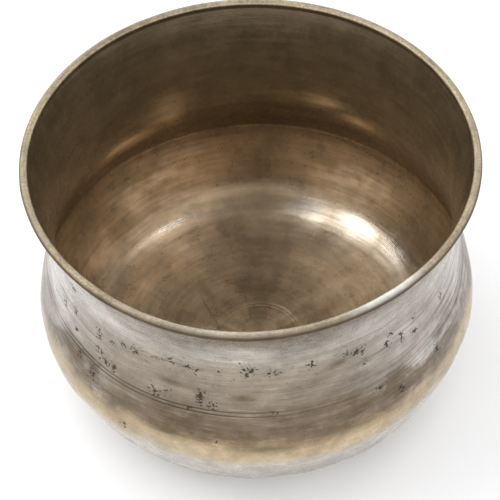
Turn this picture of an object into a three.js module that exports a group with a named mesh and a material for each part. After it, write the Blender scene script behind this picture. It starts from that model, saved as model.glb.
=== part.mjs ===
// Brass urli bowl: a deep, thick-walled vessel worked from a single piece of metal.
// Its open mouth flares into a beaded lip, a long shallow neck runs out to a full belly,
// and the lower bowl turns in to a gently dished underside with a small flat base.
//
// Millimetres, +Z up. The origin is the centre of the flat base, on the surface the
// bowl stands on, and Z is the bowl's axis of revolution.

import * as THREE from "three";

// Driving dimensions.
const LIP_RADIUS = 115; // outermost circle of the beaded lip
const LIP_WIDTH = 4.5; // from the mouth's inner edge to the outermost circle
const LIP_BEAD_RADIUS = 2.2; // round outer edge of the lip
const LIP_DROP = 4.9; // from the lip's top down to its root on the wall
const WALL = 2.4; // wall and base thickness
const ROOT_RADIUS = 113.3; // outer radius of the wall at the lip's root
const ROOT_LEAN = 23; // how far the wall leans in, going down from the lip, in degrees

// The outside of the wall is a chain of arcs, each one smooth with the next, from the
// lip's root down to the flat base. An arc has a length along the wall, the lean in
// degrees that it ends with (0 is upright, 90 is level) and a number of facets.
const WALL_ARCS = [
  { length: 75.8, endLean: -21, facets: 6 }, // neck: leans in, then out
  { length: 23, endLean: -5, facets: 2 }, // shoulder
  { length: 8, endLean: 16, facets: 2 }, // belly, the widest part
  { length: 21.5, endLean: 22, facets: 2 }, // flank
  { length: 33, endLean: 77, facets: 6 }, // turn to the underside
  { length: 53, endLean: 90, facets: 3 }, // dished underside, ending level
];

const SEGMENTS = 64; // facets round the axis
const LIP_STEPS = 6;
const LIP_UNDERCUT = 0.85; // how far the bead's arc runs round, as a part of a half turn

// One point of the wall's section: its outer radius, its depth below the lip's root, and
// its lean in radians. Each facet is a chord of its arc, so it takes the middle lean.
function wallSection() {
  let radius = ROOT_RADIUS;
  let depth = 0;
  let lean = THREE.MathUtils.degToRad(ROOT_LEAN);
  const section = [{ radius, depth, lean }];
  for (const arc of WALL_ARCS) {
    const turn = THREE.MathUtils.degToRad(arc.endLean) - lean;
    const step = arc.length / arc.facets;
    for (let i = 0; i < arc.facets; i += 1) {
      const middleLean = lean + turn / arc.facets / 2;
      radius -= step * Math.sin(middleLean);
      depth += step * Math.cos(middleLean);
      lean += turn / arc.facets;
      section.push({ radius, depth, lean });
    }
  }
  return section;
}

// The wall's points at a distance inside its outer surface, from the lip's root down.
function wallPoints(section, inset) {
  const rootHeight = section.at(-1).depth;
  return section.map(
    ({ radius, depth, lean }) =>
      new THREE.Vector2(
        radius - inset * Math.cos(lean),
        rootHeight - depth + inset * Math.sin(lean),
      ),
  );
}

// The lip's outline, from the mouth's inner edge over its top and round the bead.
function lipPoints(rootHeight) {
  const topHeight = rootHeight + LIP_DROP;
  const beadCentre = new THREE.Vector2(LIP_RADIUS, topHeight).subScalar(LIP_BEAD_RADIUS);
  const innerEdge = new THREE.Vector2(
    LIP_RADIUS - LIP_WIDTH,
    topHeight - LIP_BEAD_RADIUS / 2,
  );
  const points = [innerEdge];
  for (let i = 0; i <= LIP_STEPS; i += 1) {
    const angle = Math.PI * (0.5 - (LIP_UNDERCUT * i) / LIP_STEPS);
    const rim = new THREE.Vector2(Math.cos(angle), Math.sin(angle));
    points.push(rim.multiplyScalar(LIP_BEAD_RADIUS).add(beadCentre));
  }
  return points;
}

// Half section of the bowl, from the centre of the base up the outside, over the lip and
// down the inside to the centre of the floor.
function bowlProfile() {
  const section = wallSection();
  const outside = wallPoints(section, 0);
  const inside = wallPoints(section, WALL);
  const rootHeight = section.at(-1).depth;
  return [
    new THREE.Vector2(0, 0),
    ...outside.reverse(),
    ...lipPoints(rootHeight).reverse(),
    ...inside,
    new THREE.Vector2(0, WALL),
  ];
}

// The lathe turns the profile round Y, so the finished geometry is stood up along Z.
function makeBowl() {
  const geometry = new THREE.LatheGeometry(bowlProfile(), SEGMENTS);
  geometry.rotateX(Math.PI / 2);
  const brass = new THREE.MeshStandardMaterial({
    color: 0x9c8a6c,
    roughness: 0.35,
    metalness: 1,
  });
  const bowl = new THREE.Mesh(geometry, brass);
  bowl.name = "bowl";
  return bowl;
}

const urli = new THREE.Group();
urli.add(makeBowl());

export default urli;
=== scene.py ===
"""The brass urli bowl: its hand-worked surface, its aged metal, and a plain studio."""

import math

import bpy
import numpy as np
from mathutils import Matrix, Vector


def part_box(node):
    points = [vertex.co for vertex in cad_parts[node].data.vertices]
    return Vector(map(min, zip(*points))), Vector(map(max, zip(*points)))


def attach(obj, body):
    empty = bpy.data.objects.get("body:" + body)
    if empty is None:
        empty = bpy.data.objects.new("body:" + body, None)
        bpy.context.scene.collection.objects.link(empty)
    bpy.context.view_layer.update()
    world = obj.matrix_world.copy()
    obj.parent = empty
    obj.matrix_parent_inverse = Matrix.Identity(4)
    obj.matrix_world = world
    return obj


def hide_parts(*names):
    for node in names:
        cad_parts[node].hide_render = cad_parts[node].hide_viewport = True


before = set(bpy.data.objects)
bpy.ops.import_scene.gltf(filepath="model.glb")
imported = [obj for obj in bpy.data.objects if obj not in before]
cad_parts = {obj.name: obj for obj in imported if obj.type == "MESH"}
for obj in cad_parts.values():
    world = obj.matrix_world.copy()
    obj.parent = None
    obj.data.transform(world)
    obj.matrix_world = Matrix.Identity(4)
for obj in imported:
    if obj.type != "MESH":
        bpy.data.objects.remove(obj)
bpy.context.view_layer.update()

MM = 0.001
SEED = 11

# ------------------------------------------------------------ sizes, as in the CAD part
# The outside of the wall is a chain of arcs from the lip's root down to the flat base,
# each with its length and the lean, in degrees, that it ends with.
LIP_RADIUS = 115 * MM
LIP_BEAD_RADIUS = 2.2 * MM
LIP_DROP = 4.9 * MM
LIP_UNDERCUT = 0.85  # half turns of bead from its crest round to its underside
LIP_STEPS = 60
WALL = 2.4 * MM
ROOT_RADIUS = 113.3 * MM
ROOT_LEAN = 23
WALL_ARCS = [
    (75.8 * MM, -21),
    (23.0 * MM, -5),
    (8.0 * MM, 16),
    (21.5 * MM, 22),
    (33.0 * MM, 77),
    (53.0 * MM, 90),
]
BOWL_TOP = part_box("bowl")[1][2]

# ------------------------------------------------------------ hand-worked detail
FINE = 0.1 * MM  # spacing of the section before the mesh's rows are picked from it
ARC_BLEND = 3.0 * MM  # how gently one arc runs into the next
EDGE_BLEND = 0.25 * MM  # how round the lip's edges are
COLUMNS = 960

SCRIBE_HEIGHTS = (81.4 * MM, 83.6 * MM)
SCRIBE_WIDTH = 0.85 * MM
SCRIBE_DEPTH = 0.35 * MM
SCRIBE_WANDER = 0.12 * MM  # how far the line strays up and down
SCRIBE_WANDER_SIZE = 25 * MM
# The line is clear at the front left and faint elsewhere. Bearings are in degrees.
SCRIBE_CLEARS = (203, 214)
SCRIBE_FADES = (292, 238)
SCRIBE_FAINT = 0.35
CREASE_HEIGHT = 57.5 * MM
CREASE_STEP = 0.55 * MM
CREASE_REACH = 14 * MM
FLOOR_RINGS = (24.4 * MM, 22.4 * MM)
FLOOR_RING_DEPTH = 0.06 * MM
FLOOR_LEVEL = 8 * MM  # anything inside and lower than this is floor
PIT_DEPTH = 0.12 * MM

# The inside, and the lip's colour, begin and end at these lengths past the lip's crest.
INSIDE_EDGE = (1 * MM, 3.5 * MM)
LIP_OUTER_EDGE = (-2.8 * MM, -0.4 * MM)
LIP_INNER_EDGE = (3.4 * MM, 2.4 * MM)

# Relief left by the work: its size, its stretch round the bowl, its height outside and
# inside, and the share of that height that is left on the lip.
RELIEF = [
    (9.0 * MM, 1.0, 0.16 * MM, 0.08 * MM, 0.15),
    (3.2 * MM, 1.6, 0.022 * MM, 0.012 * MM, 1.0),
    (0.8 * MM, 40.0, 0.004 * MM, 0.004 * MM, 1.0),
]
WAVES = 64
RELIEF_FREE_POLE = 30 * MM  # the relief fades out towards the axis
RELIEF_FREE_BASE = (0.2 * MM, 2 * MM)
RELIEF_FREE_LIP = 5 * MM

# How far apart the mesh's rows are.
INSIDE_ROWS = 1.5 * MM
OUTSIDE_ROWS = 1.1 * MM
PITTED_ROWS = 0.8 * MM
PITTED_HEIGHTS = (60 * MM, 135 * MM)
GROOVE_ROWS = 0.2 * MM
SCRIBE_REACH = 1.2 * MM
FLOOR_RING_REACH = 1.0 * MM
CREASE_ROWS = 0.25 * MM
CREASE_ROWS_REACH = 2 * MM
LIP_ROWS = 0.3 * MM
LIP_ROWS_BELOW_TOP = 6 * MM
ROWS_BLEND_STEPS = 5

# The lip isn't level: it drops towards +X, and dips where the bowl has been leant on.
RIM_DROP = 0.7 * MM
RIM_TILT = 1.0 * MM
RIM_DIP = 4.0 * MM
RIM_DIP_BEARING = 263
RIM_DIP_REACH = 36
RIM_BEND_HEIGHTS = (105 * MM, 150 * MM)  # the wall bends with the lip between these

# Spots round the bowl: bearing in degrees (0 is +X and 270 is -Y), then height, width and
# height of the spot in millimetres, then strength. Casting pits come in small clusters.
PITS = [
    (203, 122, 4, 12, 1.1),
    (213, 120, 5, 8, 1.1),
    (206, 97, 5, 7, 1.1),
    (212, 102, 5, 7, 1.0),
    (213, 90, 4, 4, 1.0),
    (216, 80, 4, 6, 1.1),
    (223, 104, 4, 12, 1.0),
    (223, 92, 7, 5, 0.9),
    (222, 75, 5, 10, 1.0),
    (226, 88, 7, 4, 1.3),
    (229, 88, 4, 8, 1.3),
    (228, 104, 6, 4, 0.6),
    (232, 109, 4, 4, 1.2),
    (236, 109, 7, 7, 1.0),
    (243, 111, 7, 3, 0.9),
    (247, 113, 4, 5, 1.0),
    (242, 87, 8, 6, 1.0),
    (246, 89, 5, 5, 0.8),
    (252, 111, 5, 6, 1.0),
    (254, 109, 3, 6, 1.0),
    (255, 91, 4, 11, 1.3),
    (258, 87, 8, 5, 0.9),
    (252, 83, 4, 3, 0.8),
    (260, 112, 4, 5, 0.8),
    (264, 105, 4, 2, 0.6),
    (268, 112, 8, 9, 1.1),
    (267, 120, 9, 4, 0.6),
    (274, 111, 8, 6, 0.9),
    (274, 84, 5, 2, 0.8),
    (284, 113, 6, 7, 0.8),
    (294, 111, 5, 5, 1.1),
    (297, 109, 5, 8, 1.3),
    (299, 109, 4, 7, 1.2),
    (299, 98, 4, 7, 0.7),
    (308, 108, 5, 5, 1.0),
    (307, 103, 6, 6, 0.9),
    (312, 102, 3, 10, 1.1),
    (317, 97, 4, 5, 1.1),
    (317, 107, 4, 5, 0.8),
    (309, 71, 4, 6, 1.2),
    (303, 79, 8, 4, 0.8),
    (293, 80, 4, 3, 0.8),
    (324, 74, 4, 7, 0.9),
    (331, 98, 4, 9, 0.9),
    (234, 57, 4, 4, 0.7),
    (259, 66, 2, 4, 0.7),
]
# Soft brown stains on the outside, listed like the pits.
SMUDGES = [
    (247, 97, 14, 5, 1.0),
    (266, 93, 10, 6, 0.95),
    (292, 107, 10, 4, 0.9),
    (246, 66, 22, 5, 1.0),
    (231, 72, 30, 7, 0.5),
    (297, 75, 26, 5, 0.9),
    (293, 82, 22, 2, 0.7),
    (272, 62, 30, 6, 0.7),
    (262, 76, 40, 9, 0.5),
]
# Places outside made silvery: partly metal scoured bare, and partly painted reflection of the
# bright surround at the sides and the neck, with a painted highlight on the lip.
SCOURED_AND_SHEEN_PLACES = [
    (195, 105, 80, 60, 0.9),
    (345, 105, 80, 60, 0.9),
    (222, 130, 54, 30, 0.75),
    (305, 125, 50, 26, 0.5),
    (262, 130, 60, 20, 0.3),
    (90, 110, 120, 60, 0.5),
    (322, 80, 56, 34, 0.6),
    (222, 72, 28, 20, 0.4),
    (312, 102, 50, 40, 0.5),
    # These two are on the lip: a painted highlight along its crest, lighter at the front and
    # whitest at the front right.
    (262, 156, 90, 5, 0.25),
    (303, 156, 34, 4, 1.3),
]
# Places at the turn from wall to floor that are rubbed to a silvery polish. They lie where the
# lamps' highlights fall, and their silvery colour is partly a painted highlight.
POLISH_AND_HIGHLIGHT_PLACES = [
    (124, 12, 40, 2, 0.8),
    (68, 12, 34, 8, 0.85),
    (50, 13, 44, 9, 1.0),
    (32, 14, 40, 9, 0.8),
    (210, 12, 60, 9, 0.8),
    (320, 12, 60, 9, 0.8),
]
# Places inside where the patina is worn off, to tan low down and to orange above the crease.
WORN_PLACES = [
    (122, 30, 80, 42, 1.3),
    (128, 18, 62, 10, 1.0),
    (128, 6, 62, 8, 0.6),
    (150, 22, 60, 34, 0.8),
    (57, 30, 76, 36, 1.2),
    (131, 78, 48, 12, 1.2),
    (117, 90, 24, 24, 1.1),
    (66, 92, 30, 14, 0.8),
    (56, 82, 30, 14, 0.9),
    (215, 30, 70, 36, 1.0),
    (300, 32, 90, 34, 1.0),
    (250, 85, 40, 20, 0.6),
    (340, 84, 40, 16, 0.6),
    (147, 6, 110, 8, 0.5),
    (38, 5, 110, 8, 0.45),
    (250, 6, 120, 6, 0.3),
]
# The corners of the scratch on the floor: x and y in millimetres.
FLOOR_SCRATCH = [(-32, 29), (-26, 16), (-21, 4)]


def smooth_step(low, high, value):
    """0 at low, 1 at high, and a smooth ramp between, whichever way round they are."""
    t = np.clip((value - low) / (high - low), 0, 1)
    return t * t * (3 - 2 * t)


def hump(value, centre, half_width):
    """A smooth hump of height 1 round a centre."""
    return np.exp(-(((value - centre) / half_width) ** 2))


def blur(values, reach_in_steps):
    """Smooths a row of numbers, holding its two ends."""
    reach = int(3 * reach_in_steps)
    kernel = hump(np.arange(-reach, reach + 1), 0, reach_in_steps)
    padded = np.pad(values, reach, mode="reflect", reflect_type="odd")
    return np.convolve(padded, kernel / kernel.sum(), "valid")


def wall_section():
    """Outer radius, height and lean along the wall, from the lip's root to the base."""
    ends = np.cumsum([0] + [length for length, _ in WALL_ARCS])
    leans = np.radians([ROOT_LEAN] + [lean for _, lean in WALL_ARCS])
    along = np.arange(0, ends[-1], FINE)
    lean = blur(np.interp(along, ends, leans), ARC_BLEND / FINE)
    radius = ROOT_RADIUS - np.cumsum(np.sin(lean) * FINE)
    depth = np.cumsum(np.cos(lean) * FINE)
    height = depth[-1] - depth
    return radius, height * (BOWL_TOP - LIP_DROP) / height[0], lean


def lip_outline():
    """Radius and height round the lip, from its root on the outside to the mouth."""
    angle = np.pi * np.linspace(0.5 - LIP_UNDERCUT, 1.0, LIP_STEPS)
    radius = LIP_RADIUS - LIP_BEAD_RADIUS * (1 - np.cos(angle))
    height = BOWL_TOP - LIP_BEAD_RADIUS * (1 - np.sin(angle))
    return radius, height


def resample(radius, height, spacing):
    """The same outline with evenly spaced points."""
    length = np.concatenate([[0], np.cumsum(np.hypot(np.diff(radius), np.diff(height)))])
    even = np.arange(0, length[-1], spacing)
    return np.interp(even, length, radius), np.interp(even, length, height)


def bowl_section():
    """The whole half section, from the centre of the base up the outside, over the lip
    and down the inside to the centre of the floor, with the outward normal."""
    radius, height, lean = wall_section()
    inner_radius = radius - WALL * np.cos(lean)
    inner_height = height + WALL * np.sin(lean)
    lip_radius, lip_height = lip_outline()
    all_radius = np.concatenate([[0], radius[::-1], lip_radius, inner_radius, [0]])
    all_height = np.concatenate([[0], height[::-1], lip_height, inner_height, [WALL]])
    radius, height = resample(all_radius, all_height, FINE)
    radius = np.clip(blur(radius, EDGE_BLEND / FINE), 0, None)
    height = blur(height, EDGE_BLEND / FINE)
    radius[0] = radius[-1] = 0
    along = np.arange(len(radius)) * FINE
    run, rise = np.gradient(radius), np.gradient(height)
    norm = np.hypot(run, rise)
    past_crest = along - along[np.argmax(height)]
    lip = smooth_step(*LIP_OUTER_EDGE, past_crest) * smooth_step(*LIP_INNER_EDGE, past_crest)
    return {
        "along": along,
        "radius": radius,
        "height": height,
        "normal_out": rise / norm,
        "normal_up": -run / norm,
        "inside": smooth_step(*INSIDE_EDGE, past_crest),
        "lip": lip,
        "level": height.copy(),
    }


def row_spacing(section):
    """How far apart the mesh's rows are along the section: close where detail is."""
    height = section["height"]
    inside = section["inside"] > 0.5
    outside = ~inside
    spacing = np.where(inside, INSIDE_ROWS, OUTSIDE_ROWS)
    lowest, highest = PITTED_HEIGHTS
    spacing[outside & (height > lowest) & (height < highest)] = PITTED_ROWS
    for centre in SCRIBE_HEIGHTS:
        spacing[outside & (abs(height - centre) < SCRIBE_REACH)] = GROOVE_ROWS
    spacing[inside & (abs(height - CREASE_HEIGHT) < CREASE_ROWS_REACH)] = CREASE_ROWS
    for ring in FLOOR_RINGS:
        near_ring = abs(section["radius"] - ring) < FLOOR_RING_REACH
        spacing[inside & near_ring & (height < FLOOR_LEVEL)] = GROOVE_ROWS
    spacing[height > BOWL_TOP - LIP_ROWS_BELOW_TOP] = LIP_ROWS
    return blur(spacing, ROWS_BLEND_STEPS)


def pick_rows(section):
    """The section at the mesh's rows only."""
    steps = FINE / row_spacing(section)
    count = np.concatenate([[0], np.cumsum(steps[1:])])
    rows = np.interp(np.arange(0, count[-1], 1.0), count, section["along"])
    rows = np.append(rows[:-1], section["along"][-1])
    return {
        name: np.interp(rows, section["along"], values)
        for name, values in section.items()
    }


def wave_field(rng, bearing, along, size, stretch=1.0):
    """A smooth random relief with features about size across, stretched round the bowl."""
    turns = np.round(rng.normal(0, LIP_RADIUS / (size * stretch), WAVES))
    rates = rng.normal(0, 1 / size, WAVES)
    phases = rng.uniform(0, 2 * np.pi, WAVES)
    down = np.outer(along, rates) + phases
    across = np.outer(turns, bearing)
    waves_sum = np.cos(down) @ np.cos(across) - np.sin(down) @ np.sin(across)
    return waves_sum / math.sqrt(WAVES / 2)


def turn_between(bearing, degrees_round):
    """The turn from one bearing to others, in radians and the short way round."""
    return np.angle(np.exp(1j * (bearing - math.radians(degrees_round))))


def spots(rows, bearing, places, on_outside):
    """How far each point is into one of a list of spots, from 0 to about 1."""
    side = (rows["inside"] < 0.5) == on_outside
    mask = np.zeros((len(rows["along"]), len(bearing)))
    for degrees_round, height, width, tall, strength in places:
        offset = turn_between(bearing, degrees_round)
        across = hump(offset * LIP_RADIUS, 0, width * MM / 2)
        down = hump(rows["height"], height * MM, tall * MM / 2) * side
        mask = np.maximum(mask, strength * np.outer(down, across))
    return mask


def groove_mask(rows, bearing, rng):
    """How deep each point is in a scribed line, from 0 to 1."""
    outside = rows["inside"] < 0.5
    on_floor = (rows["inside"] > 0.5) & (rows["height"] < FLOOR_LEVEL)
    wander = wave_field(rng, bearing, np.zeros(1), SCRIBE_WANDER_SIZE)[0]
    facing = np.degrees(bearing)
    clear = smooth_step(*SCRIBE_CLEARS, facing) * smooth_step(*SCRIBE_FADES, facing)
    kept = SCRIBE_FAINT + (1 - SCRIBE_FAINT) * clear
    kept = kept * np.clip(0.95 + 0.15 * wander, 0.6, 1)
    mask = np.zeros((len(rows["along"]), len(bearing)))
    for centre in SCRIBE_HEIGHTS:
        offset = rows["height"][:, None] - centre - SCRIBE_WANDER * wander[None, :]
        line = hump(offset, 0, SCRIBE_WIDTH / 2) * outside[:, None]
        mask = np.maximum(mask, line * kept[None, :])
    for ring in FLOOR_RINGS:
        offset = rows["radius"][:, None] - ring
        depth = FLOOR_RING_DEPTH / SCRIBE_DEPTH
        line = depth * hump(offset, 0, SCRIBE_WIDTH / 2) * on_floor[:, None]
        mask = np.maximum(mask, line)
    return mask


def relief(rows, bearing, pits, grooves):
    """How far each point stands out from the plain section, along its normal."""
    rng = np.random.default_rng(SEED)
    clear_of_pole = smooth_step(0, RELIEF_FREE_POLE, rows["radius"])[:, None]
    clear_of_base = smooth_step(*RELIEF_FREE_BASE, rows["height"])[:, None]
    inside = rows["inside"][:, None]
    below_lip = 1 - hump(rows["height"], BOWL_TOP, RELIEF_FREE_LIP)[:, None]
    worked = 0
    for size, stretch, outer_height, inner_height, lip_share in RELIEF:
        waves = wave_field(rng, bearing, rows["along"], size, stretch)
        tallness = outer_height + (inner_height - outer_height) * inside
        worked = worked + waves * tallness * (lip_share + (1 - lip_share) * below_lip)
    worked = worked * clear_of_pole * clear_of_base
    above_crease = smooth_step(CREASE_HEIGHT + CREASE_REACH, CREASE_HEIGHT, rows["height"])
    above_crease = above_crease * (rows["height"] > CREASE_HEIGHT)
    cove = above_crease * (rows["inside"] > 0.5)
    return worked - grooves * SCRIBE_DEPTH - pits * PIT_DEPTH - CREASE_STEP * cove[:, None]


def rim_bend(rows, bearing):
    """How far the wall under the lip is bent up or down from a true level lip."""
    dip_offset = np.degrees(turn_between(bearing, RIM_DIP_BEARING))
    dip = RIM_DIP * hump(dip_offset, 0, RIM_DIP_REACH)
    change = -RIM_DROP - RIM_TILT * np.cos(bearing) - dip
    return np.outer(smooth_step(*RIM_BEND_HEIGHTS, rows["height"]), change)


def bowl_mesh():
    """The bowl as one closed mesh, with the masks that its material reads."""
    rows = pick_rows(bowl_section())
    bearing = np.arange(COLUMNS) * 2 * np.pi / COLUMNS
    rng = np.random.default_rng(SEED + 1)
    masks = {
        "pits": spots(rows, bearing, PITS, True),
        "smudges": spots(rows, bearing, SMUDGES, True),
        "scoured_and_sheen": spots(rows, bearing, SCOURED_AND_SHEEN_PLACES, True),
        "worn": spots(rows, bearing, WORN_PLACES, False),
        "polish_and_highlight": spots(rows, bearing, POLISH_AND_HIGHLIGHT_PLACES, False),
        "grooves": groove_mask(rows, bearing, rng),
    }
    out = relief(rows, bearing, masks["pits"], masks["grooves"])
    radius = rows["radius"][:, None] + rows["normal_out"][:, None] * out
    height = rows["height"][:, None] + rows["normal_up"][:, None] * out
    height = np.maximum(height + rim_bend(rows, bearing), 0)
    grid = np.stack([radius * np.cos(bearing), radius * np.sin(bearing), height], axis=-1)
    return close_grid(grid, masks, rows)


def close_grid(grid, masks, rows):
    """Joins a grid of points round the axis into a mesh, with one point at each pole."""
    count = grid.shape[0] - 2
    points = np.concatenate([grid[:1, 0], grid[1:-1].reshape(-1, 3), grid[-1:, 0]])
    ring = np.arange(COLUMNS)
    following = (ring + 1) % COLUMNS
    start = 1 + np.arange(count - 1)[:, None] * COLUMNS
    quads = np.stack(
        [start + ring, start + following, start + COLUMNS + following, start + COLUMNS + ring],
        axis=-1,
    ).reshape(-1, 4)
    last = 1 + (count - 1) * COLUMNS
    floor_pole = len(points) - 1
    base_fan = np.stack([np.zeros_like(ring), 1 + following, 1 + ring], axis=-1)
    floor_centre = np.full_like(ring, floor_pole)
    floor_fan = np.stack([floor_centre, last + ring, last + following], axis=-1)
    faces = quads.tolist() + base_fan.tolist() + floor_fan.tolist()
    mesh = bpy.data.meshes.new("bowl_metal")
    mesh.from_pydata(points.tolist(), [], faces)
    masks = dict(masks)
    for name in ("inside", "lip", "along", "level"):
        masks[name] = np.repeat(rows[name][:, None], COLUMNS, axis=1)
    for name, values in masks.items():
        flat = np.concatenate([values[:1, 0], values[1:-1].ravel(), values[-1:, 0]])
        layer = mesh.attributes.new(name, "FLOAT", "POINT")
        layer.data.foreach_set("value", flat.astype(np.float32))
    mesh.shade_smooth()
    return mesh


# ---------------------------------------------------------------- the aged metal
class Graph:
    """A short way to build a material's nodes."""

    def __init__(self, material):
        material.use_nodes = True
        self.tree = material.node_tree
        self.shader = self.tree.nodes["Principled BSDF"]

    def node(self, kind, inputs=(), **settings):
        made = self.tree.nodes.new("ShaderNode" + kind)
        for name, value in settings.items():
            setattr(made, name, value)
        for socket, value in dict(inputs).items():
            self.feed(made.inputs[socket], value)
        return made

    def feed(self, socket, value):
        if isinstance(value, bpy.types.NodeSocket):
            self.tree.links.new(value, socket)
        else:
            socket.default_value = value

    def math(self, operation, first, second=0.0, third=0.0):
        inputs = {0: first, 1: second, 2: third}
        return self.node("Math", inputs, operation=operation).outputs[0]

    def ramp(self, value, low, high, to_low=0.0, to_high=1.0):
        inputs = {0: value, 1: low, 2: high, 3: to_low, 4: to_high}
        smooth = self.node("MapRange", inputs, interpolation_type="SMOOTHSTEP")
        return smooth.outputs[0]

    def band(self, value, low, high, blend):
        """1 between low and high, and 0 away from them."""
        rise = self.ramp(value, low - blend, low + blend)
        fall = self.ramp(value, high + blend, high - blend)
        return self.math("MULTIPLY", rise, fall)

    def mix(self, factor, first, second):
        """One colour run into another. The node's colour sockets have these numbers."""
        made = self.node("Mix", {0: factor, 6: first, 7: second}, data_type="RGBA")
        return made.outputs[2]

    def noise(self, vector, scale, detail=3.0, roughness=0.55):
        inputs = {"Vector": vector, "Scale": scale, "Detail": detail, "Roughness": roughness}
        return self.node("TexNoise", inputs).outputs["Fac"]

    def swing(self, noise, amount, centre=0.0):
        """A noise turned into a value that swings by an amount, round a centre."""
        return self.math("MULTIPLY_ADD", self.math("SUBTRACT", noise, 0.5), amount, centre)

    def product(self, first, *others):
        for other in others:
            first = self.math("MULTIPLY", first, other)
        return first

    def without(self, value):
        """1 where the value is 0, and 0 where it is 1."""
        return self.math("SUBTRACT", 1.0, value)

    def paint(self, under, amount, colour):
        """A plain colour over another, by an amount from 0 to 1."""
        return self.mix(amount, under, rgb(*colour))

    def mask(self, name):
        return self.node("Attribute", attribute_name=name).outputs["Fac"]

    def scaled(self, vector, factors):
        inputs = {0: vector, 1: factors}
        return self.node("VectorMath", inputs, operation="MULTIPLY").outputs[0]


def rgb(red, green, blue):
    """A colour as the nodes take it, with its alpha."""
    return (red, green, blue, 1.0)


# Colours of the metal by height up the wall, in millimetres: reflected colour, linear.
OUTSIDE_COLOURS = [
    (0, (0.30, 0.255, 0.20)),
    (12, (0.40, 0.36, 0.305)),
    (28, (0.54, 0.51, 0.465)),
    (46, (0.57, 0.54, 0.49)),
    (53, (0.50, 0.41, 0.285)),
    (62, (0.43, 0.325, 0.20)),
    (68, (0.20, 0.15, 0.10)),
    (73, (0.16, 0.122, 0.087)),
    (81, (0.18, 0.14, 0.105)),
    (85, (0.22, 0.18, 0.14)),
    (110, (0.29, 0.245, 0.195)),
    (125, (0.42, 0.375, 0.32)),
    (143, (0.41, 0.36, 0.30)),
    (152, (0.30, 0.245, 0.18)),
]
INSIDE_COLOURS = [
    (0, (0.25, 0.185, 0.115)),
    (10, (0.25, 0.185, 0.11)),
    (20, (0.265, 0.19, 0.11)),
    (50, (0.34, 0.23, 0.12)),
    (57, (0.28, 0.19, 0.095)),
    # From 59 to 72 mm the colour is darker: painted shade in the cove above the crease.
    (59, (0.15, 0.10, 0.045)),
    (72, (0.17, 0.11, 0.055)),
    (90, (0.19, 0.13, 0.065)),
    (120, (0.128, 0.09, 0.047)),
    (150, (0.095, 0.067, 0.037)),
]
WORN_COLOUR = (0.94, 0.69, 0.44)
ORANGE_COLOUR = (0.78, 0.52, 0.28)
# Silvery colour of the polish, which also whitens the highlights as a painted highlight.
POLISH_AND_HIGHLIGHT_COLOUR = (0.62, 0.56, 0.48)
# Silvery colour of scoured metal, also used for the painted reflection and the lip's painted
# highlight.
SCOURED_AND_SHEEN_COLOUR = (0.64, 0.62, 0.59)
SMUDGE_COLOUR = (0.13, 0.095, 0.06)
LIP_COLOUR = (0.25, 0.20, 0.13)
LIP_WORN_COLOUR = (0.37, 0.31, 0.22)
# The colour of the painted shade under the lip's bead.
UNDER_LIP_SHADE_COLOUR = (0.075, 0.05, 0.028)
GRIME_COLOUR = (0.05, 0.038, 0.026)
SCRATCH_COLOUR = (0.56, 0.52, 0.46)

# Noises that run round the bowl: features in a lip's radius and in a metre up the wall, then
# detail and roughness.
FINE_MARKS = (7, 1600, 5.0, 0.65)
LONG_MARKS = (3, 420, 4.0, 0.6)
BLOTCHES = (2.6, 40, 4.0, 0.6)
SMEARS = (4.5, 75, 4.0, 0.62)
FLECKS = (26, 900, 2.0, 0.5)
# Noises that are the same every way: features in a metre, then detail and roughness.
MOTTLE = (130, 5.0, 0.68)
SPECKLE = (750, 3.0, 0.6)
CLOUDS = (60, 4.0, 0.62)
PIT_GRAIN = (680, 2.5, 0.55)
SHAKE = (300, 3.0, 0.6)

# For each kind of mark, the value of its noise where it starts and where it shows in full.
SCOURED_AND_SHEEN_RANGE = (0.25, 0.6)
SMUDGED_RANGE = (0.25, 0.52)
SMEARED_RANGE = (0.47, 0.58)
SCRATCHED_RANGE = (0.56, 0.74)
FLECKED_RANGE = (0.64, 0.72)
PITTED_RANGE = (0.64, 0.69)
LIP_WORN_RANGE = (0.35, 0.65)
# The same, followed by the strength that it starts and ends with.
WORN_BLOTCH_RANGE = (0.32, 0.6, 0.5, 1.0)
WORN_MOTTLE_RANGE = (0.3, 0.6, 0.8, 1.0)
POLISH_AND_HIGHLIGHT_RANGE = (0.3, 0.5, 0.5, 1.0)
SCRIBE_GRIME_RANGE = (0.3, 0.5, 0.65, 1.0)
FLOOR_SCRATCH_RANGE = (0.38, 0.52, 0.0, 0.7)

BLOTCH_WANDER = 24 * MM  # how far the bands of colour stray with the blotches
MARK_WANDER = 9 * MM
INSIDE_WANDER = 0.3  # the share of it that the inside has
SMEARED_HEIGHTS = (64 * MM, 84 * MM, 7 * MM)  # from, to, and how gently they begin
SMEAR_STRENGTH = 0.75
SCRATCH_STRENGTH = 0.3
FLECKED_HEIGHTS = (92 * MM, 128 * MM, 8 * MM)
FLECK_STRENGTH = 0.6
ORANGE_HEIGHTS = (58 * MM, 66 * MM)
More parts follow.
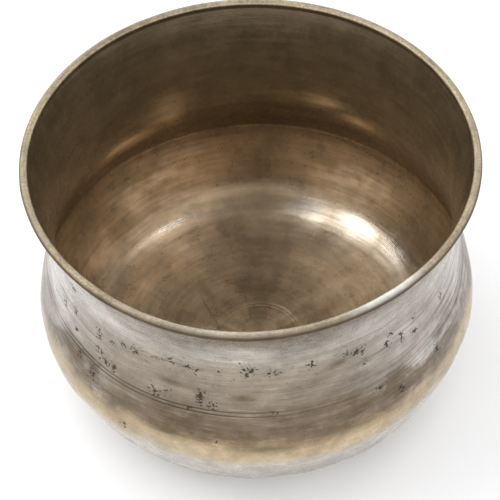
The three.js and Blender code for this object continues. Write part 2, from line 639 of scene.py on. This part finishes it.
# The heights where the painted shade under the lip comes in, and its strength.
UNDER_LIP_SHADE_HEIGHTS = (150.4 * MM, 152.0 * MM)
UNDER_LIP_SHADE_STRENGTH = 0.9
MOTTLE_SHADE = (0.7, 0.35)  # outside and inside
STREAK_SHADE = (0.5, 1.0)
CLOUD_SHADE = 1.0
FINE_SHADE = 0.4
PIT_PLACE_WEIGHT = 0.19
PIT_PLACE_EDGE = (0.05, 0.2)
PIT_GRIME = 0.95
INSIDE_SCRIBE_GRIME = 0.3
FLOOR_SCRATCH_SHAKE = 2 * MM
FLOOR_SCRATCH_WIDTH = 0.8 * MM
INSIDE_MATT = 0.55
MATT_LOSS = 0.8  # how much less metallic a fully matt place is
ROUGHNESS = 0.12
MOTTLE_ROUGHNESS = 0.3
POLISHED_ROUGHNESS = -0.14
WORN_ROUGHNESS = 0.1
GRIME_ROUGHNESS = 0.3
BUMP_STRENGTH = 0.35
BUMP_DISTANCE = 0.35 * MM
FINE_BUMP = 0.8
SPECKLE_BUMP = 0.25
MOTTLE_BUMP = 0.5
PIT_BUMP = -1.2


def fill_ramp(ramp, stops):
    """Give a colour ramp its stops: positions from 0 to 1, rising, and their colours."""
    elements = ramp.color_ramp.elements
    while len(elements) < len(stops):
        elements.new(0.5)
    for element, (position, _) in zip(elements, stops):
        element.position = position
    for element, (_, colour) in zip(elements, stops):
        element.color = (*colour, 1.0)


def height_colours(g, level, stops):
    """A colour that changes with height through a list of stops."""
    top = stops[-1][0]
    ramp = g.node("ValToRGB", {0: g.math("DIVIDE", level, top * MM)})
    fill_ramp(ramp, [(height / top, colour) for height, colour in stops])
    return ramp.outputs[0]


def round_noise(g, place, round_count, along_count, detail, roughness):
    """Noise whose marks run round the bowl, and are concentric on its floor."""
    way = g.node("SeparateXYZ", {0: g.scaled(place, (round_count / LIP_RADIUS,) * 3)})
    along = g.math("MULTIPLY", g.mask("along"), along_count)
    inputs = {0: way.outputs[0], 1: way.outputs[1], 2: along}
    return g.noise(g.node("CombineXYZ", inputs).outputs[0], 1.0, detail, roughness)


def line_mask(g, place, start, end, width):
    """1 along a straight line on the floor of the bowl, and 0 away from it."""
    start, end = Vector((*start, 0)) * MM, Vector((*end, 0)) * MM
    reach = end - start
    flat = g.scaled(place, (1, 1, 0))
    offset = g.node("VectorMath", {0: flat, 1: start}, operation="SUBTRACT").outputs[0]
    part = g.node("VectorMath", {0: offset, 1: reach}, operation="DOT_PRODUCT").outputs["Value"]
    part = g.node("Clamp", {0: g.math("DIVIDE", part, reach.length_squared)}).outputs[0]
    nearest = g.node("VectorMath", {0: reach, 3: part}, operation="SCALE").outputs[0]
    away = g.node("VectorMath", {0: offset, 1: nearest}, operation="DISTANCE").outputs["Value"]
    return g.ramp(away, width, 0.2 * width)


def shared_marks(g):
    """The noises that several parts of the metal's look share."""
    place = g.node("TexCoord").outputs["Object"]
    return {
        "place": place,
        "fine": round_noise(g, place, *FINE_MARKS),
        "long": round_noise(g, place, *LONG_MARKS),
        "blotches": round_noise(g, place, *BLOTCHES),
        "mottle": g.noise(place, *MOTTLE),
        "speckle": g.noise(place, *SPECKLE),
    }


def outside_metal(g, marks, wander):
    """Bands of silver, brown and gold, with stains, scratches and flecks, and silvery places that
    are partly scoured metal and partly painted reflection.
    """
    level = g.mask("level")
    colour = height_colours(g, g.math("ADD", level, wander), OUTSIDE_COLOURS)
    # Silvery places: scoured metal, and painted reflection of the bright surround at the sides
    # and neck.
    scoured_and_sheen = g.product(g.mask("scoured_and_sheen"), g.ramp(marks["long"], *SCOURED_AND_SHEEN_RANGE))
    colour = g.paint(colour, scoured_and_sheen, SCOURED_AND_SHEEN_COLOUR)
    smudged = g.product(g.mask("smudges"), g.ramp(marks["mottle"], *SMUDGED_RANGE))
    colour = g.paint(colour, smudged, SMUDGE_COLOUR)
    smears = g.ramp(round_noise(g, marks["place"], *SMEARS), *SMEARED_RANGE)
    smears = g.product(smears, g.band(level, *SMEARED_HEIGHTS), SMEAR_STRENGTH)
    colour = g.paint(colour, smears, SMUDGE_COLOUR)
    scratches = g.product(g.ramp(marks["fine"], *SCRATCHED_RANGE), SCRATCH_STRENGTH)
    colour = g.paint(colour, scratches, SCRATCH_COLOUR)
    flecks = g.ramp(round_noise(g, marks["place"], *FLECKS), *FLECKED_RANGE)
    flecks = g.product(flecks, g.band(level, *FLECKED_HEIGHTS), FLECK_STRENGTH)
    return g.paint(colour, flecks, GRIME_COLOUR)


def worn_and_polish_highlight(g, marks):
    """How far the inside is worn through its patina, and how far it is polished, the polish being
    partly a painted highlight.
    """
    worn = g.product(
        g.mask("worn"),
        g.ramp(marks["blotches"], *WORN_BLOTCH_RANGE),
        g.ramp(marks["mottle"], *WORN_MOTTLE_RANGE),
    )
    polish_and_highlight = g.product(g.mask("polish_and_highlight"), g.ramp(marks["long"], *POLISH_AND_HIGHLIGHT_RANGE))
    return g.math("MINIMUM", worn, 1.0), polish_and_highlight


def inside_metal(g, wander, worn, polish_and_highlight):
    """Dark olive patina, worn to tan and orange, with silvery polished places that are partly
    a painted highlight, and a band of painted shade above the crease.
    """
    level = g.mask("level")
    slight = g.math("MULTIPLY_ADD", wander, INSIDE_WANDER, level)
    colour = height_colours(g, slight, INSIDE_COLOURS)
    above = g.ramp(level, *ORANGE_HEIGHTS)
    colour = g.mix(worn, colour, g.mix(above, rgb(*WORN_COLOUR), rgb(*ORANGE_COLOUR)))
    # Partly a painted highlight: the silvery polish laid where the lamps' highlights fall.
    return g.paint(colour, polish_and_highlight, POLISH_AND_HIGHLIGHT_COLOUR)


def lip_metal(g, marks):
    """Dull, speckled brass, with a painted highlight along the crest, lighter at the front."""
    speckled = g.ramp(marks["speckle"], *LIP_WORN_RANGE)
    colour = g.mix(speckled, rgb(*LIP_COLOUR), rgb(*LIP_WORN_COLOUR))
    # Painted highlight on the lip's crest.
    return g.paint(colour, g.mask("scoured_and_sheen"), SCOURED_AND_SHEEN_COLOUR)


def shading(g, marks):
    """How much lighter or darker the metal is from spot to spot."""
    inside = g.mask("inside")
    shade = g.product(g.swing(g.noise(marks["place"], *CLOUDS), CLOUD_SHADE, 1.0),
                      g.swing(marks["fine"], FINE_SHADE, 1.0))
    for noise, (outer, inner) in ((marks["mottle"], MOTTLE_SHADE), (marks["long"], STREAK_SHADE)):
        depth = g.math("MULTIPLY_ADD", inside, inner - outer, outer)
        shade = g.product(shade, g.swing(noise, depth, 1.0))
    return shade


def pitting(g, marks):
    """1 in the casting pits."""
    pits = g.mask("pits")
    grain = g.noise(marks["place"], *PIT_GRAIN)
    depth = g.math("MULTIPLY_ADD", pits, PIT_PLACE_WEIGHT, grain)
    return g.product(g.ramp(depth, *PITTED_RANGE), g.ramp(pits, *PIT_PLACE_EDGE))


def grime_mask(g, marks, pitted):
    """Where dirt sits: in the scribed lines, in the pits and in the scratch on the floor."""
    inside = g.mask("inside")
    scribed = g.product(
        g.mask("grooves"),
        g.ramp(marks["mottle"], *SCRIBE_GRIME_RANGE),
        g.math("MULTIPLY_ADD", inside, INSIDE_SCRIBE_GRIME - 1, 1.0),
    )
    grime = g.math("MAXIMUM", scribed, g.product(pitted, PIT_GRIME))
    shake = g.swing(g.noise(marks["place"], *SHAKE), FLOOR_SCRATCH_SHAKE)
    shaken = g.node("VectorMath", {0: marks["place"], 1: shake}, operation="ADD").outputs[0]
    broken = g.ramp(marks["speckle"], *FLOOR_SCRATCH_RANGE)
    for start, end in zip(FLOOR_SCRATCH, FLOOR_SCRATCH[1:]):
        line = line_mask(g, shaken, start, end, FLOOR_SCRATCH_WIDTH)
        grime = g.math("MAXIMUM", grime, g.product(line, inside, broken))
    return grime


def fine_bump(g, marks, pitted):
    """The finest relief, which is too small for the mesh."""
    height = g.product(marks["fine"], FINE_BUMP)
    height = g.math("MULTIPLY_ADD", marks["speckle"], SPECKLE_BUMP, height)
    height = g.math("MULTIPLY_ADD", marks["mottle"], MOTTLE_BUMP, height)
    height = g.math("MULTIPLY_ADD", pitted, PIT_BUMP, height)
    inputs = {"Strength": BUMP_STRENGTH, "Distance": BUMP_DISTANCE, "Height": height}
    return g.node("Bump", inputs).outputs[0]


def aged_brass():
    """Worked brass: silvery where handled and scoured, brown in its patina, gold where
    the patina has worn off, with turning marks, pits and grime in the scribed lines. It also
    holds painted light: painted reflection and highlight in the silvery scoured and polished
    places, and painted shade under the lip and in the band above the inner crease."""
    material = bpy.data.materials.new("aged_brass")
    g = Graph(material)
    marks = shared_marks(g)
    inside, lip = g.mask("inside"), g.mask("lip")
    wander = g.swing(marks["blotches"], BLOTCH_WANDER)
    wander = g.math("ADD", wander, g.swing(marks["long"], MARK_WANDER))
    worn, polish_and_highlight = worn_and_polish_highlight(g, marks)
    outside_colour = outside_metal(g, marks, wander)
    colour = g.mix(inside, outside_colour, inside_metal(g, wander, worn, polish_and_highlight))
    # Painted shade: the bead's underside and the wall just under it are darkened, as shade under
    # the lip.
    under_lip_shade = g.ramp(g.mask("level"), *UNDER_LIP_SHADE_HEIGHTS)
    under_lip_shade = g.product(under_lip_shade, UNDER_LIP_SHADE_STRENGTH, g.without(inside))
    colour = g.paint(colour, under_lip_shade, UNDER_LIP_SHADE_COLOUR)
    colour = g.mix(lip, colour, lip_metal(g, marks))
    shaded = {0: colour, 3: shading(g, marks)}
    colour = g.node("VectorMath", shaded, operation="SCALE").outputs[0]
    pitted = pitting(g, marks)
    grime = grime_mask(g, marks, pitted)
    g.feed(g.shader.inputs["Base Color"], g.paint(colour, grime, GRIME_COLOUR))

    matt = g.math("MAXIMUM", worn, g.product(inside, INSIDE_MATT))
    matt = g.product(matt, g.without(g.math("MAXIMUM", polish_and_highlight, lip)))
    g.feed(g.shader.inputs["Metallic"], g.math("MULTIPLY_ADD", matt, -MATT_LOSS, 1.0))
    roughness = g.math("MULTIPLY_ADD", marks["mottle"], MOTTLE_ROUGHNESS, ROUGHNESS)
    roughness = g.math("MULTIPLY_ADD", polish_and_highlight, POLISHED_ROUGHNESS, roughness)
    roughness = g.math("MULTIPLY_ADD", worn, WORN_ROUGHNESS, roughness)
    # Grime, and the painted shade under the lip, are both made rougher.
    grime_and_shade = g.math("MAXIMUM", grime, under_lip_shade)
    roughness = g.math("MULTIPLY_ADD", grime_and_shade, GRIME_ROUGHNESS, roughness)
    g.feed(g.shader.inputs["Roughness"], roughness)
    g.feed(g.shader.inputs["Normal"], fine_bump(g, marks, pitted))
    return material


def make_bowl():
    bowl = bpy.data.objects.new("bowl_metal", bowl_mesh())
    bowl.data.materials.append(aged_brass())
    bpy.context.collection.objects.link(bowl)
    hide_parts("bowl")
    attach(bowl, "root")
    return bowl


# ---------------------------------------------------------------- the studio
CAMERA_ELEVATION = 49.35
CAMERA_BEARING = -1.06  # degrees off straight ahead
CAMERA_DISTANCE = 0.8537
CAMERA_AIM = Vector((-2.4 * MM, 0, 78.3 * MM))
CAMERA_ROLL = -2.85
CAMERA_LENS = 115.2
CAMERA_SENSOR_WIDTH = 36.0
FLOOR_SIZE = 6.0
FLOOR_COLOUR = (0.81, 0.81, 0.82)
FLOOR_ROUGHNESS = 0.9
LIGHT_AIM = Vector((0, 0, 0.03))
# Soft lights, in metres: place, the way that the length lies, length and width, then power.
LEFT_SOFTBOX = ((-0.64, 0.2, 1.22), (-0.57, -0.56, -0.3), (1.25, 0.85), 7.5)
RIGHT_SOFTBOX = ((0.52, 0.12, 1.29), (0.9, -0.2, -0.44), (0.55, 0.12), 1.2)
WORLD_STRENGTH = 2.3
# The share of that strength by how steeply the light comes down: 0 level, 1 overhead.
WORLD_SHARES = [(0.0, 0.45), (0.25, 1.0), (0.45, 1.0), (0.85, 0.25)]


def make_floor():
    half = FLOOR_SIZE / 2
    corners = [(-half, -half, 0), (half, -half, 0), (half, half, 0), (-half, half, 0)]
    mesh = bpy.data.meshes.new("studio_floor")
    mesh.from_pydata(corners, [], [(0, 1, 2, 3)])
    material = bpy.data.materials.new("studio_white")
    g = Graph(material)
    g.shader.inputs["Base Color"].default_value = rgb(*FLOOR_COLOUR)
    g.shader.inputs["Roughness"].default_value = FLOOR_ROUGHNESS
    mesh.materials.append(material)
    floor = bpy.data.objects.new("studio_floor", mesh)
    bpy.context.collection.objects.link(floor)


def make_camera():
    elevation, bearing = math.radians(CAMERA_ELEVATION), math.radians(CAMERA_BEARING)
    level = Vector((math.sin(bearing), math.cos(bearing), 0))
    forward = level * math.cos(elevation) - Vector((0, 0, math.sin(elevation)))
    right = forward.cross(Vector((0, 0, 1))).normalized()
    right = Matrix.Rotation(-math.radians(CAMERA_ROLL), 3, forward) @ right
    upward = right.cross(forward)
    data = bpy.data.cameras.new("camera")
    data.lens = CAMERA_LENS
    data.sensor_width = CAMERA_SENSOR_WIDTH
    camera = bpy.data.objects.new("camera", data)
    turn = Matrix((right, upward, -forward)).transposed()
    place = CAMERA_AIM - forward * CAMERA_DISTANCE
    camera.matrix_world = Matrix.Translation(place) @ turn.to_4x4()
    bpy.context.collection.objects.link(camera)
    bpy.context.scene.camera = camera


def make_panel(name, place, length_way, size, power):
    """A rectangular soft light facing the bowl, with its length laid along a direction."""
    data = bpy.data.lights.new(name, "AREA")
    data.shape = "RECTANGLE"
    data.size, data.size_y = size
    data.energy = power
    backward = (Vector(place) - LIGHT_AIM).normalized()
    length_way = Vector(length_way)
    across = (length_way - backward * length_way.dot(backward)).normalized()
    turn = Matrix((across, backward.cross(across), backward)).transposed()
    light = bpy.data.objects.new(name, data)
    light.matrix_world = Matrix.Translation(place) @ turn.to_4x4()
    bpy.context.collection.objects.link(light)


def make_lights():
    """Two soft lights, and a pale surround that is brightest well above the horizon."""
    make_panel("left_softbox", *LEFT_SOFTBOX)
    make_panel("right_softbox", *RIGHT_SOFTBOX)
    world = bpy.data.worlds.new("studio")
    bpy.context.scene.world = world
    world.use_nodes = True
    tree = world.node_tree
    way = tree.nodes.new("ShaderNodeTexCoord")
    split = tree.nodes.new("ShaderNodeSeparateXYZ")
    ramp = tree.nodes.new("ShaderNodeValToRGB")
    ramp.color_ramp.interpolation = "EASE"
    fill_ramp(ramp, [(steepness, (share,) * 3) for steepness, share in WORLD_SHARES])
    background = tree.nodes["Background"]
    background.inputs["Strength"].default_value = WORLD_STRENGTH
    tree.links.new(way.outputs["Generated"], split.inputs[0])
    tree.links.new(split.outputs["Z"], ramp.inputs[0])
    tree.links.new(ramp.outputs[0], background.inputs["Color"])


def main():
    make_bowl()
    make_floor()
    make_camera()
    make_lights()
    bpy.context.scene.view_settings.view_transform = "Standard"


main()
